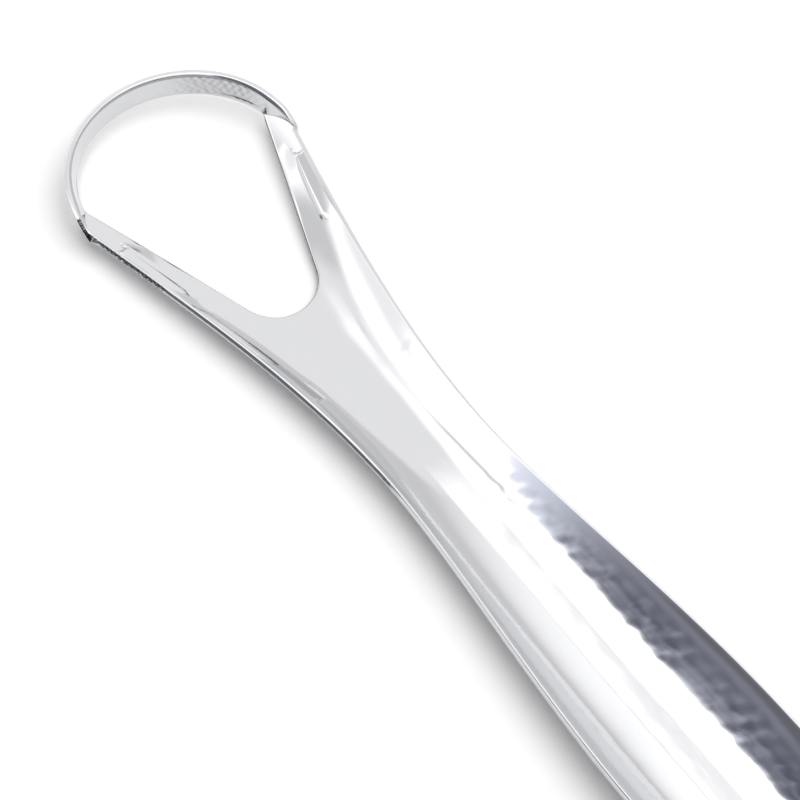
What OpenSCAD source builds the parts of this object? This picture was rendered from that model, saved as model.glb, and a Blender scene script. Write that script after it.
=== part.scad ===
// Tongue scraper pressed from stainless steel sheet.
// A trough handle forks into two arms round an opening, and an upright strip, the
// scraping band, closes the fork and meets the arms face to face along their front creases.
// Millimetres, +Z up, the head towards -X, the open side of the trough up.
// The origin is the middle of the base. Lengths along the object are written as u,
// counted from the junctions, the two rim points where the band meets the arms.

/* [Overall] */
// Length over all
overall_l = 150; // [142:1:175]
// Thickness of the sheet
sheet_t = 0.8; // [0.6:0.05:1.1]

/* [Fork and opening] */
// Width over the rims of the arms at the junctions
fork_w = 31.8; // [28:0.1:36]
// How fast each rim draws in behind its junction, in mm per mm
fork_taper = 0.23; // [0.18:0.01:0.27]
// From the junctions back to the rounded end of the opening
opening_back = 23.7; // [20:0.1:27]
// Radius of the rounded end of the opening
opening_r = 5.7; // [4.5:0.1:6.5]
// Depth of the dish behind the opening, below its rims
dish_d = 3.1; // [2.4:0.1:3.6]

/* [Scraping band] */
// The band's circle has its centre this far in front of the junctions
band_centre = 0.6; // [0:0.1:1.5]
// Rise of the band's rim above the rims of the arms
band_rise = 2.6; // [1.5:0.1:4]
// Drop of the band's lower edge below the rims of the arms
band_drop = 1.2; // [0.8:0.1:1.8]
// How far the lower edge is set in from the rim at the front
lean_front = 0.25; // [0:0.05:0.6]
// How far the lower edge is set in from the rim at the arms
lean_side = 1.2; // [0.8:0.05:1.5]
// Angle from the front at which the arms' inner edges meet the band
corner_angle = 73.5; // [68:0.5:77]
// Outward bow of the crease between each arm and the band
crease_bow = 0.45; // [0:0.05:0.6]

/* [Pressed ribs on the arms] */
// From a junction back to the full height of its rib
rib_start = 3.6; // [3:0.1:5]
// From a junction back to the low end of its rib
rib_end = 14; // [11:0.1:16]
// Height of a rib at its front end
rib_h = 0.8; // [0.2:0.05:1]
// Width of the flange between rib and rim at the front end
flange_front = 1.9; // [1.5:0.1:2.2]
// Width of the flange between rib and rim at the back end
flange_back = 2.7; // [2.2:0.1:3]

/* [Neck and grip] */
// Width over the rims at the neck
neck_w = 14.6; // [13:0.1:18]
// From the junctions back to the neck
neck_u = 53; // [48:0.5:58]
// Rise of the underside at the neck
neck_arch = 1.3; // [0.5:0.1:2]
// Width over the rims of the grip
grip_w = 21.7; // [19:0.1:26]
// From the junctions back to where the grip is widest
grip_u = 107; // [98:0.5:110]
// Depth of the grip's trough below its rims
grip_d = 4.8; // [3.5:0.1:6]
// Length of the rounded end
end_l = 12.4; // [10:0.1:14]
// Width of the flat strip along the underside
foot_w = 3; // [2:0.1:4]
// Length of the front foot, the flat behind the opening
front_foot_l = 7; // [5:0.5:10]
// From the junctions back to the rear foot, the flat under the grip
rear_foot_u = 96; // [88:0.5:98]

/* [Hidden] */

// How the wall of the trough curves up, 2 for a parabola
wall_power = 2.1;
// How the grip widens behind the neck, 1 for an even sweep
swell_power = 0.9;
// How the band's rim falls to the junctions, higher for a later fall
fall_power = 4.25;
// Height that is left of a rib at its back end, as a share of its front height
rib_fade = 0.15;
// Length over which a rib rises at its front and runs out at its back
rib_ramp = 2.2;
rib_runout = 2.2;
// Length of arm over which the rows of the mesh swing round to the crease
skew_l = 12;
bow_l = 6;
// Step for slopes taken from the surface
probe = 0.02;

// Mesh: columns from inner edge to rib, from rib to rim, and round the band
inner_cols = 6;
flange_cols = 3;
cols = inner_cols + flange_cols;
arc_cols = 22;
band_rows = 4;

junction_y = fork_w / 2;
band_r = norm([junction_y, band_centre]);
reach = band_centre + band_r + sheet_t;
junction_x = reach - overall_l / 2;
tail_u = overall_l - reach;
round_u = tail_u - end_l;
front_foot_end = opening_back + front_foot_l;
arch_u = (neck_u + front_foot_end + rear_foot_u) / 3;
rim_slope = (grip_d - dish_d) / (rear_foot_u - opening_back);
junction_angle = acos(-band_centre / band_r);

function smooth(t) = let (c = max(0, min(1, t))) c * c * (3 - 2 * c);
function mix(a, b, t) = a + (b - a) * t;
function unit(v) = v / norm(v);

// Height of the rims above the base: a straight line through both feet
function rim_z(u) = dish_d + sheet_t + rim_slope * (u - opening_back);

// Rise of the underside between the two feet
function arch(u) = neck_arch * (u < arch_u
    ? smooth((u - front_foot_end) / (arch_u - front_foot_end))
    : smooth((rear_foot_u - u) / (rear_foot_u - arch_u)));

// Depth of the trough below its rims, on the centre line
function depth(u) = rim_z(u) - sheet_t - arch(u);

// Half the width between the rims, without the rounded end
function full_half(u) =
    u < 0 ? junction_y - fork_taper * u
    : u < neck_u ? let (t = u / neck_u)
        mix(junction_y, neck_w / 2, smooth(t)) - fork_taper * neck_u * t * (1 - t) * (1 - t)
    : u < grip_u ? mix(neck_w, grip_w, smooth(pow((u - neck_u) / (grip_u - neck_u), swell_power))) / 2
    : grip_w / 2;
function half_w(u) = u < round_u ? full_half(u)
    : full_half(u) * sqrt(max(0, 1 - pow((u - round_u) / end_l, 2)));

// Lower edge of the band, as a plan point at an angle from the front
function lean(a) = mix(lean_front, lean_side, pow(a / corner_angle, 2));
function round_band(r, a) = [-band_centre - r * cos(a), r * sin(a)];
corner = round_band(band_r - lean(corner_angle), corner_angle);

// Opening: straight edges from the corners, tangent to the round end
round_c = opening_back - opening_r;
to_round = [round_c, 0] - corner;
edge_angle = atan2(to_round[1], to_round[0]) + asin(opening_r / norm(to_round));
tangent_u = round_c - opening_r * sin(edge_angle);
function open_half(u) =
    u < tangent_u ? corner[1] + tan(edge_angle) * (u - corner[0])
    : sqrt(max(0, opening_r * opening_r - pow(u - round_c, 2)));

// Line of the rib, which also divides the mesh beyond the rib's ends
function flange(u) = min(0.34 * half_w(u), mix(flange_front, flange_back,
    max(0, min(1, (u - rib_start) / (rib_end - rib_start)))));
function rib_y(u) = half_w(u) - flange(u);
function rib_rise(u) = rib_h
    * smooth((u - rib_start + rib_ramp) / rib_ramp)
    * smooth((rib_end + rib_runout - u) / rib_runout)
    * mix(1, rib_fade, max(0, min(1, (u - rib_start) / (rib_end - rib_start))));
function rib(u, y) = rib_rise(u) <= 0 ? 0
    : rib_rise(u) * max(0, y < rib_y(u)
        ? 1 - (rib_y(u) - y) / (rib_y(u) - open_half(u))
        : 1 - (y - rib_y(u)) / flange(u));

// Upper surface of arms and trough
function top_z(u, y) = let (q = max(0, (abs(y) - foot_w / 2) / (full_half(u) - foot_w / 2)))
    rim_z(u) - depth(u) * (1 - pow(q, wall_power)) + rib(u, abs(y));
function top_normal(u, y) = unit([
    top_z(u - probe, y) - top_z(u + probe, y),
    top_z(u, y - probe) - top_z(u, y + probe),
    2 * probe]);

// Crease between arm and band, from the corner (t = 0) to the junction (t = 1)
junction = [0, junction_y];
bow_dir = unit([corner[1] - junction_y, -corner[0]]);
function crease(t) = let (p = mix(corner, junction, t) + bow_dir * crease_bow * 4 * t * (1 - t))
    [p[0], p[1], top_z(p[0], p[1])];
function outward(p) = unit([p[0] + band_centre, p[1], 0]);
function wall_lean(a) = atan(lean(min(a, corner_angle)) / (band_rise + band_drop));
function band_normal(p, a) = outward(p) * cos(wall_lean(a)) - [0, 0, sin(wall_lean(a))];
// From the upper to the under side along the crease: the mitre of band and arm
function mitre(t) = let (
        p = crease(t),
        nb = band_normal(p, corner_angle),
        na = -top_normal(p[0], p[1]))
    (nb + na) * sheet_t / (1 + nb * na);

// Rows of the handle's mesh, by their place on the rim
function span(a, b, n) = [for (k = [0 : n - 1]) mix(a, b, k / n)];
arm_rows = 30;
bend_rows = 7;
trough_rows = 30;
end_rows = 10;
row_u = concat(
    span(0, rib_end + rib_runout, arm_rows),
    span(rib_end + rib_runout, tangent_u, 3),
    [for (k = [0 : bend_rows - 1]) mix(tangent_u, opening_back, sin(90 * k / bend_rows))],
    span(opening_back, front_foot_end, 3),
    span(front_foot_end, rear_foot_u, trough_rows),
    span(rear_foot_u, round_u, 6),
    [for (k = [0 : end_rows]) round_u + end_l * sin(90 * k / end_rows)]);
rows = len(row_u);
joined_row = arm_rows + 3 + bend_rows;

// A point of the upper surface: u runs back, t from the inner edge to the rim
rib_t = inner_cols / cols;
function foot_half(u) = min(foot_w / 2, 0.2 * half_w(u));
function across(u, t) =
    t > rib_t ? mix(rib_y(u), half_w(u), (t - rib_t) / (1 - rib_t))
    : u < opening_back ? mix(open_half(u), rib_y(u), t / rib_t)
    : t <= 0 ? 0
    : mix(foot_half(u), rib_y(u), (t * cols - 1) / (inner_cols - 1));
function plain_point(row, t) = let (
        inner = row + corner[0] * max(0, 1 - row / skew_l),
        u = mix(inner, row, t))
    [u, across(u, t)];
function upper(i, j) = let (
        row = row_u[i],
        t = j / cols,
        shift = let (c = crease(t)) [c[0], c[1]] - plain_point(0, t),
        p = plain_point(row, t) + shift * pow(max(0, 1 - row / bow_l), 2))
    [p[0], p[1], top_z(p[0], p[1])];
function under(i, j) = let (p = upper(i, j))
    i == 0 ? p + mitre(j / cols) : p - top_normal(p[0], p[1]) * sheet_t;

function place(p, side) = [junction_x + p[0], side * p[1], p[2]];
function tri(a, b, c) = a == b || b == c || a == c ? [] : [[a, b, c]];
function quad(a, b, c, d) = concat(tri(a, b, c), tri(a, c, d));
// Turns a face over for the mirrored side, and keeps the diagonal that starts at a
function face(side, a, b, c, d) = side > 0 ? quad(a, b, c, d) : quad(a, d, c, b);

// Trough with two arms, pressed from one sheet
module handle() {
    n = rows * (cols + 1);
    function id(side, layer, i, j) = let (
            jj = i == rows - 1 ? 0 : j,
            s = jj == 0 && i >= joined_row ? 0 : (side > 0 ? 0 : 2))
        (s + layer) * n + i * (cols + 1) + jj;
    points = [for (side = [1, -1]) for (layer = [0, 1]) for (i = [0 : rows - 1]) for (j = [0 : cols])
        place(layer == 0 ? upper(i, j) : under(i, j), side)];
    faces = [for (s = [1, -1]) each concat(
        [for (i = [0 : rows - 2]) for (j = [0 : cols - 1]) each concat(
            face(s, id(s, 0, i, j), id(s, 0, i, j + 1), id(s, 0, i + 1, j + 1), id(s, 0, i + 1, j)),
            face(s, id(s, 1, i, j), id(s, 1, i + 1, j), id(s, 1, i + 1, j + 1), id(s, 1, i, j + 1)))],
        [for (i = [0 : rows - 2]) each
            face(s, id(s, 1, i, cols), id(s, 1, i + 1, cols), id(s, 0, i + 1, cols), id(s, 0, i, cols))],
        [for (i = [0 : joined_row - 1]) each
            face(s, id(s, 1, i, 0), id(s, 0, i, 0), id(s, 0, i + 1, 0), id(s, 1, i + 1, 0))],
        [for (j = [0 : cols - 1]) each
            face(s, id(s, 1, 0, j), id(s, 1, 0, j + 1), id(s, 0, 0, j + 1), id(s, 0, 0, j))])];
    color("silver") polyhedron(points, faces, convexity = 8);
}

// Angle from the front of a column of the band's mesh
function column_angle(k) = k <= arc_cols ? corner_angle * k / arc_cols
    : mix(corner_angle, junction_angle, (k - arc_cols) / cols);
function rim_point(k) = let (
        a = column_angle(k),
        p = round_band(band_r, a))
    [p[0], p[1], rim_z(p[0]) + band_rise * (1 - pow(a / junction_angle, fall_power))];
function lower_point(k) = k > arc_cols ? crease((k - arc_cols) / cols)
    : let (
        a = column_angle(k),
        p = round_band(band_r - lean(a), a),
        at_corner = rim_z(corner[0]) - top_z(corner[0], corner[1]))
    [p[0], p[1], rim_z(p[0]) - mix(band_drop, at_corner, pow(a / corner_angle, 4))];
function lower_offset(k) = k > arc_cols ? mitre((k - arc_cols) / cols)
    : mix(band_normal(lower_point(k), column_angle(k)) * sheet_t, mitre(0), pow(k / arc_cols, 6));
function rim_offset(k) = mix(outward(rim_point(k)) * sheet_t, mitre(1),
    pow(max(0, (k - arc_cols) / cols), 2));

// Upright strip that closes the fork and does the scraping
module scraper_band() {
    last = arc_cols + cols;
    n = (last + 1) * (band_rows + 1);
    function id(side, layer, k, v) = let (
            vv = k == last ? 0 : v,
            s = k == 0 || side > 0 ? 0 : 2)
        (s + layer) * n + k * (band_rows + 1) + vv;
    function inner(k, v) = mix(lower_point(k), rim_point(k), v / band_rows);
    function outer(k, v) = inner(k, v) + mix(lower_offset(k), rim_offset(k), v / band_rows);
    points = [for (side = [1, -1]) for (layer = [0, 1]) for (k = [0 : last]) for (v = [0 : band_rows])
        place(layer == 0 ? inner(k, v) : outer(k, v), side)];
    faces = [for (s = [1, -1]) for (k = [0 : last - 1]) each concat(
        [for (v = [0 : band_rows - 1]) each concat(
            face(s, id(s, 0, k, v), id(s, 0, k, v + 1), id(s, 0, k + 1, v + 1), id(s, 0, k + 1, v)),
            face(s, id(s, 1, k, v), id(s, 1, k + 1, v), id(s, 1, k + 1, v + 1), id(s, 1, k, v + 1)))],
        face(s, id(s, 1, k, band_rows), id(s, 1, k + 1, band_rows),
            id(s, 0, k + 1, band_rows), id(s, 0, k, band_rows)),
        face(s, id(s, 1, k, 0), id(s, 0, k, 0), id(s, 0, k + 1, 0), id(s, 1, k + 1, 0)))];
    color("gainsboro") polyhedron(points, faces, convexity = 4);
}

handle();
scraper_band();
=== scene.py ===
"""Looks of the steel tongue scraper: finely shaped sheet, polished steel and a soft studio.

Shapes are in millimetres and become metres when a mesh is made; materials measure in metres.
u runs along the object from the junctions, where the band meets the arms, to the tail, and d is
the distance in from the rim. Each side is shaped at positive y, and the near side is then mirrored.
"""
import math

import bpy
import bmesh
import numpy as np
from mathutils import Matrix, Vector


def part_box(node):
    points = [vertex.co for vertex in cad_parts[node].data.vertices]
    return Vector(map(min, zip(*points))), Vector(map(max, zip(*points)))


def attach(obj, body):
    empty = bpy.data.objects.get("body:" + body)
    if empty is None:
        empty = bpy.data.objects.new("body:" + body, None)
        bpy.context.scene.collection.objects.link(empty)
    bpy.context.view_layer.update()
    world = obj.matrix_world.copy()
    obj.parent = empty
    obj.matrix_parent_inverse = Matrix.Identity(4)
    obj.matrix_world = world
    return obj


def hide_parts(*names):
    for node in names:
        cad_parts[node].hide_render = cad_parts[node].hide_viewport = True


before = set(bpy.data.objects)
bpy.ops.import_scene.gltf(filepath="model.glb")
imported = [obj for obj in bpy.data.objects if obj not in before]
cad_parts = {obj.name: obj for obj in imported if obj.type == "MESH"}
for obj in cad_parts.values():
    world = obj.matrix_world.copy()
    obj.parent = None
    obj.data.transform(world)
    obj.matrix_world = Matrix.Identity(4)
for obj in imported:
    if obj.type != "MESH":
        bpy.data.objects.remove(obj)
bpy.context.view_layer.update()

MM = 0.001

# Sizes that the solids have too
SHEET_T = 0.8
FORK_W = 31.8
FORK_TAPER = 0.23
OPENING_BACK = 23.7
OPENING_R = 5.7
DISH_D = 3.1
BAND_CENTRE = 0.6
BAND_RISE = 2.6
BAND_DROP = 1.2
LEAN_FRONT = 0.25
LEAN_SIDE = 1.2
CORNER_ANGLE = math.radians(73.5)
CREASE_BOW = 0.45
BOW_L = 6
RIB_START = 3.6
RIB_END = 14.0
RIB_FADE = 0.15
NECK_W = 14.6
NECK_U = 53.0
NECK_ARCH = 1.3
GRIP_W = 21.7
GRIP_U = 107.0
GRIP_D = 4.8
END_L = 12.4
FOOT_W = 3.0
FRONT_FOOT_L = 7.0
REAR_FOOT_U = 96.0
WALL_POWER = 2.1
SWELL_POWER = 0.9
FALL_POWER = 4.25

# Rounding of the edges: radii, then how they shrink toward the crease and where the band gets low
TOP_R = 0.3
UNDER_R = 0.15
BAND_INNER_R = 0.48
BAND_OUTER_R = 0.22
RIM_GROWTH = (0.2, 0.6)
OPENING_GROWTH = (0.05, 0.5)
LOW_GROWTH = 0.5
LOW_SIZE = 0.8
RIM_R_SHARE = 0.4

# How far from the crease the handle's thickness turns toward the mitre
MITRE_L = 0.9

# Rounding of the pressed lines, on the upper surface and on the under one
CRISP = 0.13
SOFT = 0.5

# The pressed ridge of each arm. Of two lists, the first gives places and the second the values there:
# the crest's distance from the rim along u, then the middle and the length of the ridge's rise for each d.
# CALM_RIM: nearer the rim the rise stays the same, on the far arm and on the undersides, where it is
# longer by UNDER_RAMP. RIDGE_SIDE: least and most width of the slope toward the opening
CREST = ([0, 4, 9, 13.8, 15.2, 16.4, 21, 24, 31, 37],
         [2.1, 2.0, 2.25, 2.4, 1.75, 1.38, 1.3, 1.55, 2.0, 2.6])
RIDGE_START = ([0.1, 0.15, 0.25, 0.32, 0.5, 0.72, 1.22, 1.6, 2.0, 2.6, 3.5],
               [1.0, 1.3, 2.6, 3.5, 3.9, 4.05, 3.95, 3.55, 3.5, 3.6, 3.8])
RIDGE_RAMP = ([0.3, 1.2, 1.7, 2.1, 3, 4], [0.5, 0.5, 1.2, 5, 5.4, 5.6])
RIDGE_H = 0.42
RIDGE_STOP = 15.8
RIDGE_OUT = 2.6
RIDGE_SIDE = (1.5, 5)
CALM_RIM = 0.4
UNDER_RAMP = 2.5

# The dip behind the ridge, shallower on the far side, and how it ends outside and inside the crest line
DIP = 0.17
DIP_FAR_LESS = 0.75
DIP_IN = 3
DIP_STOP = 37.8
DIP_OUT = (0.8, 6)

# The groove on the crest's outer side, wider and deeper on the near arm by NEAR_GROOVE.
# Four numbers are a start, its fade, an end and its fade, here and below
GROOVE_OFF = 0.3
GROOVE_SPREAD = 0.17
GROOVE_D = 0.055
NEAR_GROOVE = 1.6
GROOVE_U = (2.6, 0.8, 15.2, 1.0)

# Noise: its number of waves, their turns per unit along each coordinate, its gain and a seed for each use
NOISE_WAVES = 7
NOISE_TURNS = (0.4, 1.6)
NOISE_GAIN = 1.6
SEEDS = {"ripple": 11, "fine_ripple": 5, "patches": 29, "waves": 7, "torn": 3,
         "pits": 17, "speckle": 19, "mottle": 31, "black_end": 23}

# The pressing's unevenness: ripples on the grip's far wall, and slow waves in the trough
RIPPLE_H = 0.016
RIPPLE_L = 4.2
RIPPLE_ACROSS = 2.6
RIPPLE_U = (52, 12)
RIPPLE_SHARE = (0.2, 0.2, 0.93, 0.15)
FINE_RIPPLE = 0.3
FINE_RIPPLE_L = 1.3
FINE_RIPPLE_ACROSS = 2.2
PATCH_L = 9.0
PATCH_LEVEL = (0.6, 0.4)
WAVE_H = 0.004
WAVE_L = 7.0
WAVE_U = (16, 6)
WAVE_SHARE = (0.9, 0.3)

# The sheared rim: depths of its rolled corner and shiny cut, and slants in degrees
ROLL_DOWN = 0.16
SHINE_END = 0.62
CUT_TILT = ([8, 14, 26, 33, 50, 62], [-18, -12, -2, 3, 3, 18])
BREAK_TILT = 14
BURR_R = 0.06

# Its torn stretch on the near arm, duller cut and specks of grime. A span is a middle and a half width,
# counted in points of the edge from the upper surface down
TORN_U = (0.8, 0.8, 13.2, 1.5)
CRINKLE = (0.002, 0.04)
CRINKLE_L = 0.55
CRINKLE_ACROSS = 5.0
CRINKLE_SPAN = (9, 3.4)
PIT_LEVEL = (0.42, 0.95)
PIT_L = 0.45
PIT_SPAN = (8, 4.2)
GRIME_ACROSS = 6.0
DULL_CUT = 0.5
DULL_CUT_U = (42, 14)
DULL_CUT_SPAN = (6, 3.5)
SPECKLE = 0.9
SPECKLE_L = 0.4
SPECKLE_U = (40, 10)

# Painted shade on a wedge of the near arm, between two distances from the rim, and a notch-shaped painted
# shadow on the far one
WEDGE = ([24, 30, 37, 37.8], [1.58, 1.95, 2.55, 2.3], [0.73, 0.86, 1.02, 1.5])
WEDGE_U = (23.5, 3, 37.8, 0.3)
WEDGE_SOFT = 0.12
WEDGE_SHADE = 0.33
NOTCH_AT = (14.1, 2.35)
NOTCH_SIZE = (0.5, 0.16)
NOTCH_SHADOW = 0.8

# The band: how its lower line and its thickness turn toward the crease. UPWARD is a trace of height
# that gives a direction where its two lines meet
DROP_POWER = 4
TURN_POWER = 10
RIM_TURN_L = 2.9
RIM_TURN_POWER = 1.5
UPWARD = np.array([0, 0, 1e-6])

# The thin lip inside the band, above a fold line, and the averaging that keeps the inner face even
LIP_OUT = 0.045
LIP_ANGLE = (42, 20)
LIP_END = 0.2
LIP_LOW = 0.45
LIP_SOFT = 0.2
EVEN_STEPS = 400
EVEN_SPAN = 60
EVEN_ANGLE = math.radians(5)

# Marks of the band: painted shade at the junctions, a light painted shade over the inner face, mottled at
# random, a painted shade line at the fold, more painted shade on the far side's inner face, and a dark near
# end
FOLD_SHADE = 0.6
FOLD_UP = 0.1
FOLD_SOFT = 0.12
JUNCTION_SHADE = 0.5
JUNCTION_SHADE_L = 0.9
JUNCTION_SHADE_FADE = 0.6
INNER_SHADE = 0.05
MOTTLE = 0.5
MOTTLE_L = 1.6
MOTTLE_COLS = 14
FAR_SIDE_SHADE = 0.26
FAR_SIDE_SHADE_ANGLE = (0.2, 0.5, 1.4, 0.4)
BLACK_END_L = 3.1
BLACK_END_FADE = 0.4
BLACK_END_LEVEL = (0.85, 0.3)
BLACK_END_GRAIN = 0.4
BLACK_END_COLS = (5, 23)

# Worked out from the frame and the sizes above
JUNCTION_Y = FORK_W / 2
BAND_R = math.hypot(JUNCTION_Y, BAND_CENTRE)
OVERALL_L = (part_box("handle")[1].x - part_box("scraper_band")[0].x) / MM
REACH = BAND_CENTRE + BAND_R + SHEET_T
JUNCTION_X = REACH - OVERALL_L / 2
TAIL_U = OVERALL_L - REACH
ROUND_U = TAIL_U - END_L
FRONT_FOOT_END = OPENING_BACK + FRONT_FOOT_L
ARCH_U = (NECK_U + FRONT_FOOT_END + REAR_FOOT_U) / 3
RIM_SLOPE = (GRIP_D - DISH_D) / (REAR_FOOT_U - OPENING_BACK)
JUNCTION_ANGLE = math.acos(-BAND_CENTRE / BAND_R)


def smooth(t):
    """0 up to 0, 1 from 1 on, and a smooth step between them."""
    t = np.clip(t, 0, 1)
    return t * t * (3 - 2 * t)


def onset(x, start, length):
    """0 up to the start, rising smoothly to 1 over a length."""
    return smooth((x - start) / length)


def within(x, start, rise, end, fall):
    """0 outside start and end and 1 well between them, with soft ends as long as rise and fall."""
    return smooth((x - start) / rise) * smooth((end - x) / fall)


def mix(a, b, t):
    """a where t is 0, b where it is 1."""
    return a + (b - a) * t


def unit(v):
    """The same directions, each of length 1."""
    return v / np.linalg.norm(v, axis=-1, keepdims=True)


def noise(use, *coordinates):
    """Smooth noise along the given coordinates, mostly from -1 to 1, the same in every run."""
    rng = np.random.default_rng(SEEDS[use])
    total = 0
    for _ in range(NOISE_WAVES):
        direction = rng.uniform(*NOISE_TURNS, len(coordinates)) * rng.choice([-1, 1], len(coordinates))
        phase = rng.uniform(0, 2 * math.pi)
        total = total + np.sin(sum(2 * math.pi * c * k for c, k in zip(coordinates, direction)) + phase)
    return total / NOISE_WAVES * NOISE_GAIN


def rim_z(u):
    """Height of the rims: a straight line through both feet."""
    return DISH_D + SHEET_T + RIM_SLOPE * (u - OPENING_BACK)


def arch(u):
    """Rise of the underside between the two feet."""
    front = smooth((u - FRONT_FOOT_END) / (ARCH_U - FRONT_FOOT_END))
    back = smooth((REAR_FOOT_U - u) / (REAR_FOOT_U - ARCH_U))
    return NECK_ARCH * np.where(u < ARCH_U, front, back)


def full_half(u):
    """Half the width between the rims, without the rounded end."""
    t = np.clip(u / NECK_U, 0, 1)
    fork = mix(JUNCTION_Y, NECK_W / 2, smooth(t)) - FORK_TAPER * NECK_U * t * (1 - t) ** 2
    swell = smooth(np.clip((u - NECK_U) / (GRIP_U - NECK_U), 0, 1) ** SWELL_POWER)
    grip = mix(NECK_W, GRIP_W, swell) / 2
    return np.where(u < 0, JUNCTION_Y - FORK_TAPER * u, np.where(u < NECK_U, fork, grip))


def round_band(r, a):
    """Points in plan round the band's centre, where angle 0 is the front of the loop."""
    return np.stack([-BAND_CENTRE - r * np.cos(a), r * np.sin(a)], -1)


def lean(a):
    """How far the band's lower line stands inside its rim."""
    return mix(LEAN_FRONT, LEAN_SIDE, (np.minimum(a, CORNER_ANGLE) / CORNER_ANGLE) ** 2)


CORNER = round_band(BAND_R - LEAN_SIDE, CORNER_ANGLE)
ROUND_C = OPENING_BACK - OPENING_R
TO_ROUND = np.array([ROUND_C, 0.0]) - CORNER
EDGE_ANGLE = math.atan2(TO_ROUND[1], TO_ROUND[0]) + math.asin(OPENING_R / np.linalg.norm(TO_ROUND))
TANGENT_U = ROUND_C - OPENING_R * math.sin(EDGE_ANGLE)


def open_half(u):
    """Half the width of the opening."""
    straight = CORNER[1] + math.tan(EDGE_ANGLE) * (u - CORNER[0])
    end = np.sqrt(np.maximum(0, OPENING_R ** 2 - (u - ROUND_C) ** 2))
    return np.where(u < TANGENT_U, straight, end)


def ridge(u, d, rounding, far):
    """Height over the plain sheet: the ridge, the dip behind it and the groove beside its crest."""
    line = np.interp(u, *CREST)
    width = np.clip(full_half(u) - open_half(u) - line, *RIDGE_SIDE)
    under = rounding > CRISP
    start = np.interp(np.maximum(d, CALM_RIM * max(far, under)), *RIDGE_START)
    length = np.interp(d, *RIDGE_RAMP) + UNDER_RAMP * under
    up = smooth((u - start) / length + 0.5)
    down = smooth((RIDGE_STOP - u) / RIDGE_OUT)
    rise = RIDGE_H * mix(1, RIB_FADE, np.clip((u - RIB_START) / (RIB_END - RIB_START), 0, 1))
    dip = DIP * (1 - DIP_FAR_LESS * far) * onset(u, RIDGE_STOP, DIP_IN)
    dip = dip * smooth((DIP_STOP - u) / np.where(d < line, *DIP_OUT))
    off = d - line
    slope_out, slope_in = 1 / line, 1 / width
    soft = np.sqrt(off ** 2 + rounding ** 2)
    tent = 1 - (slope_out + slope_in) / 2 * soft + (slope_out - slope_in) / 2 * off
    wider = mix(NEAR_GROOVE, 1, far)
    groove = GROOVE_D * wider * np.exp(-((off + GROOVE_OFF) / (GROOVE_SPREAD * wider)) ** 2)
    groove = groove * within(u, *GROOVE_U)
    return (rise * up * down - dip) * np.maximum(tent, 0) - groove * (CRISP / rounding) ** 2


def ripple(u, y, share, far):
    """The pressing's unevenness. share is 0 on the middle line and 1 at the rim."""
    wall = onset(u, *RIPPLE_U) * within(share, *RIPPLE_SHARE)
    base, change = PATCH_LEVEL
    strength = base + change * noise("patches", u / PATCH_L)
    fine = noise("fine_ripple", u / FINE_RIPPLE_L, y / FINE_RIPPLE_ACROSS)
    short = noise("ripple", u / RIPPLE_L, y / RIPPLE_ACROSS) + FINE_RIPPLE * fine
    rim_share, fade = WAVE_SHARE
    slow = noise("waves", u / WAVE_L, y / WAVE_L) * onset(u, *WAVE_U) * smooth((rim_share - share) / fade)
    return far * RIPPLE_H * short * wall * strength + WAVE_H * slow


def top_z(u, y, rounding=CRISP, far=0):
    """Height of the upper surface of arms and trough."""
    y = np.abs(y)
    full = full_half(u)
    q = np.maximum(0, (y - FOOT_W / 2) / (full - FOOT_W / 2))
    z = rim_z(u) - (rim_z(u) - SHEET_T - arch(u)) * (1 - q ** WALL_POWER)
    uneven = 0 if rounding > CRISP else ripple(u, y, y / full, far)
    return z + ridge(u, np.maximum(full - y, 0), rounding, far) + uneven


def top_normal(u, y, rounding=CRISP):
    """Normals of the upper surface at points in plan."""
    step = 0.01
    return unit(np.stack([top_z(u - step, y, rounding) - top_z(u + step, y, rounding),
                          top_z(u, y - step, rounding) - top_z(u, y + step, rounding),
                          np.full_like(u, 2 * step)], -1))


def lift(p, rounding=CRISP, far=0):
    """Plan points raised onto the upper surface."""
    return np.concatenate([p, top_z(p[..., 0], p[..., 1], rounding, far)[..., None]], -1)


def crease_plan(t):
    """Crease between arm and band in plan, from the corner (0) to the junction (1)."""
    ends = mix(CORNER, np.array([0.0, JUNCTION_Y]), t[..., None])
    bow = unit(np.array([CORNER[1] - JUNCTION_Y, -CORNER[0]]))
    return ends + bow * (CREASE_BOW * 4 * t * (1 - t))[..., None]


def outward(p):
    """Level directions away from the middle of the loop."""
    flat = np.stack([p[..., 0] + BAND_CENTRE, p[..., 1], np.zeros_like(p[..., 0])], -1)
    return unit(flat)


def band_normal(p, a):
    """Normal of the band's outer face: away from the middle of the loop and slightly down."""
    tilt = np.arctan(lean(a) / (BAND_RISE + BAND_DROP))[..., None]
    return outward(p) * np.cos(tilt) - np.array([0, 0, 1.0]) * np.sin(tilt)


def mitre(t):
    """From the upper to the under side along the crease, where band and arm meet."""
    p = lift(crease_plan(t))
    outer = band_normal(p, np.full(len(t), CORNER_ANGLE))
    lower = -top_normal(p[:, 0], p[:, 1])
    return (outer + lower) * SHEET_T / (1 + np.sum(outer * lower, -1, keepdims=True))


# Points closer than this become one, and thinner slivers go
WELD = 0.003
SLIVER = 0.002


def joined(parts):
    """The points of several grids in one list."""
    return np.concatenate([points.reshape(-1, 3) for points, _, _ in parts])


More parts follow.
